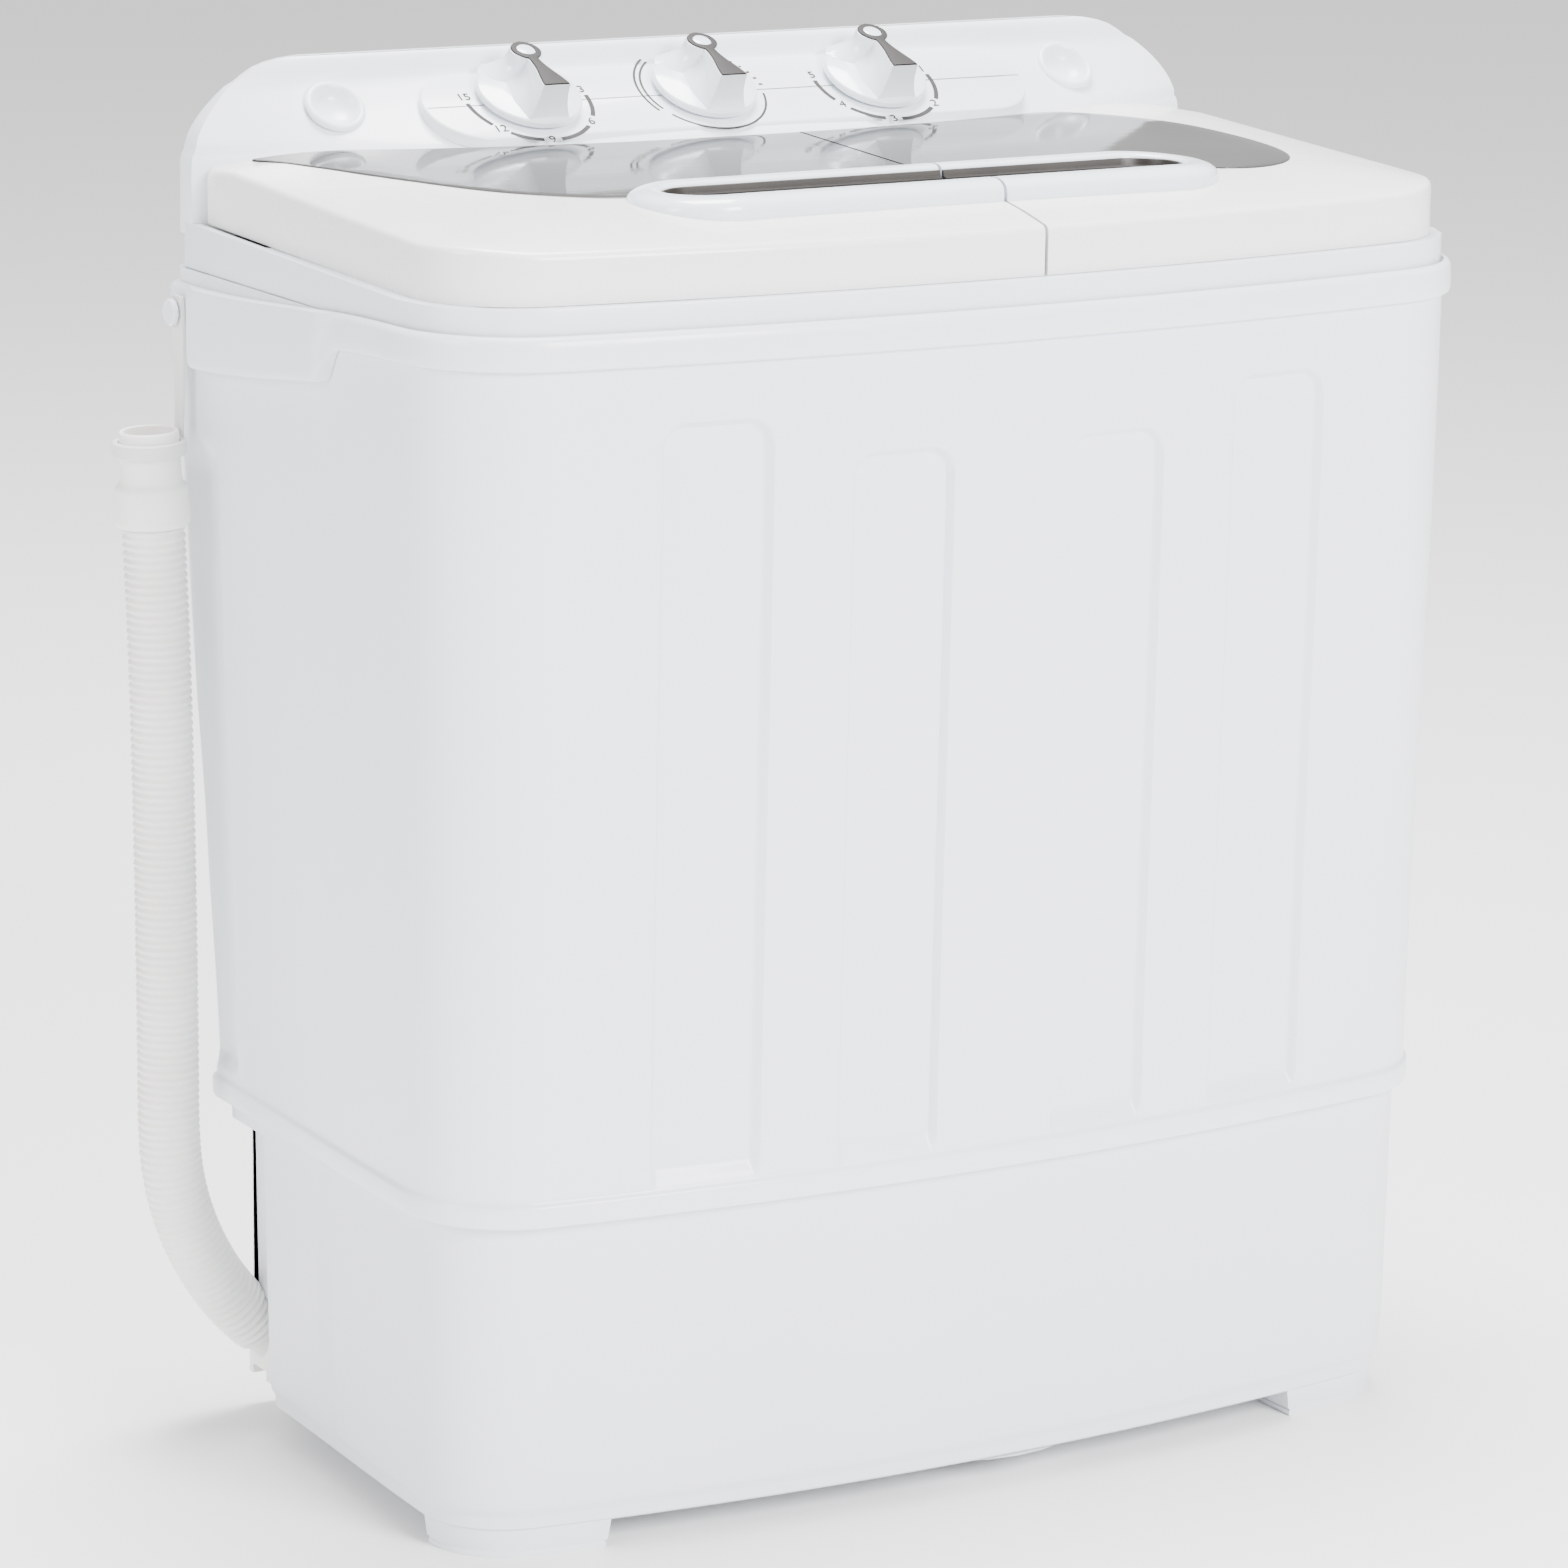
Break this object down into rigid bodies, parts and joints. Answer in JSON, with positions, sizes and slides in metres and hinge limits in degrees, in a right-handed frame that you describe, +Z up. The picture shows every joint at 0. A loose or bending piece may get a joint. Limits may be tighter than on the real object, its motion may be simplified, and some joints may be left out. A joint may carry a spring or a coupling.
{
  "type": "twin tub washer",
  "caption": "Compact twin tub washing machine with a wash tub and pulsator, a spin basket, two lids, three control knobs and a side drain hose.",
  "frame": {"origin": "on the floor under the middle of the cabinet", "axes": "+X to the right of someone facing the machine, +Y to its back, +Z up"},
  "size_m": [0.6228, 0.3197, 0.699],
  "materials": {
    "base": "fine satin",
    "cabinet": "satin gloss",
    "lid": "gloss",
    "grip": "gloss",
    "smoked": "smoked gloss",
    "slot": "satin",
    "knob": "gloss",
    "inlay": "matt",
    "tub": "satin",
    "steel": "plain",
    "motor": "satin",
    "rubber": "matt",
    "black": "satin",
    "hose": "milky",
    "hanger": "satin"
  },
  "bodies": {
    "cabinet": {"base_skirt": "base", "foot_front_left": "base", "foot_front_right": "base", "foot_rear_left": "base", "foot_rear_right": "base", "motor_guard": "base", "outer_casing": "cabinet", "rear_cover": "cabinet", "cord_gland": "black", "rim_band": "cabinet", "top_deck": "cabinet", "water_inlet_left": "cabinet", "water_inlet_right": "cabinet", "wash_timer_switch": "black", "selector_switch": "black", "spin_timer_switch": "black", "control_console": "cabinet", "wash_tub": "tub", "drive_housing": "motor", "wash_motor": "motor", "drive_belt": "rubber", "spin_tub": "tub", "shaft_seal": "rubber", "spin_motor": "motor", "motor_plate": "steel", "motor_spring_1": "steel", "motor_spring_2": "steel", "motor_spring_3": "steel", "drain_valve_body": "black", "drain_pipe": "black", "hose_outlet": "hose", "drain_hose": "hose", "hose_cuff": "hose", "hose_hanger": "hanger", "lint_filter": "tub", "run_capacitor": "black"},
    "wash_lid": {"wash_lid_frame": "lid", "wash_lid_window": "smoked", "wash_lid_grip": "grip", "wash_lid_pocket": "slot"},
    "spin_lid": {"spin_lid_frame": "lid", "spin_lid_window": "smoked", "spin_lid_grip": "grip", "spin_lid_pocket": "slot"},
    "wash_timer": {"wash_timer_knob": "knob", "wash_timer_inlay": "inlay"},
    "selector": {"selector_knob": "knob", "selector_inlay": "inlay"},
    "spin_timer": {"spin_timer_knob": "knob", "spin_timer_inlay": "inlay"},
    "agitator": {"pulsator": "tub", "pulsator_shaft": "steel", "wash_pulley": "motor"},
    "drive_pulley": {"motor_pulley": "motor"},
    "spinner": {"spin_basket": "tub", "spin_shaft": "steel", "brake_drum": "motor", "spin_pressing_disc": "tub"},
    "brake": {"brake_lever": "steel"},
    "drain_plug": {"drain_valve_plug": "rubber"}
  },
  "joints": [
    {"name": "wash_lid_hinge", "type": "hinge", "parent": "cabinet", "child": "wash_lid", "pos_m": [-0.1, 0.082, 0.631], "axis": [-1, 0, 0], "range_deg": [0, 64]},
    {"name": "spin_lid_hinge", "type": "hinge", "parent": "cabinet", "child": "spin_lid", "pos_m": [0.15, 0.082, 0.631], "axis": [-1, 0, 0], "range_deg": [0, 64]},
    {"name": "wash_timer_turn", "type": "hinge", "parent": "cabinet", "child": "wash_timer", "pos_m": [-0.108, 0.12036, 0.65794], "axis": [0, -0.4848, 0.8746], "range_deg": [-300, 0]},
    {"name": "selector_turn", "type": "hinge", "parent": "cabinet", "child": "selector", "pos_m": [-0.008, 0.12036, 0.65794], "axis": [0, -0.4848, 0.8746], "range_deg": [-180, 0]},
    {"name": "spin_timer_turn", "type": "hinge", "parent": "cabinet", "child": "spin_timer", "pos_m": [0.092, 0.12036, 0.65794], "axis": [0, -0.4848, 0.8746], "range_deg": [-300, 0]},
    {"name": "agitator_spin", "type": "hinge", "parent": "cabinet", "child": "agitator", "pos_m": [-0.118, -0.032, 0.24], "axis": [0, 0, 1], "continuous": true},
    {"name": "drive_pulley_spin", "type": "hinge", "parent": "cabinet", "child": "drive_pulley", "pos_m": [-0.01, 0.056, 0.178], "axis": [0, 0, 1], "continuous": true},
    {"name": "spinner_spin", "type": "hinge", "parent": "cabinet", "child": "spinner", "pos_m": [0.156, -0.03, 0.24], "axis": [0, 0, 1], "continuous": true},
    {"name": "brake_swing", "type": "hinge", "parent": "cabinet", "child": "brake", "pos_m": [0.156, 0.046, 0.178], "axis": [0, 0, 1], "range_deg": [0, 1.5]},
    {"name": "drain_plug_lift", "type": "slide", "parent": "cabinet", "child": "drain_plug", "axis": [0, 0, 1], "range_m": [0, 0.008], "stiffness_N_per_m": 200, "springref_m": -0.001}
  ],
  "couplings": [
    {"joint": "drive_pulley_spin", "follows": "agitator_spin", "ratio": 3.4},
    {"joint": "brake_swing", "follows": "spin_lid_hinge", "ratio": 0.023438}
  ]
}
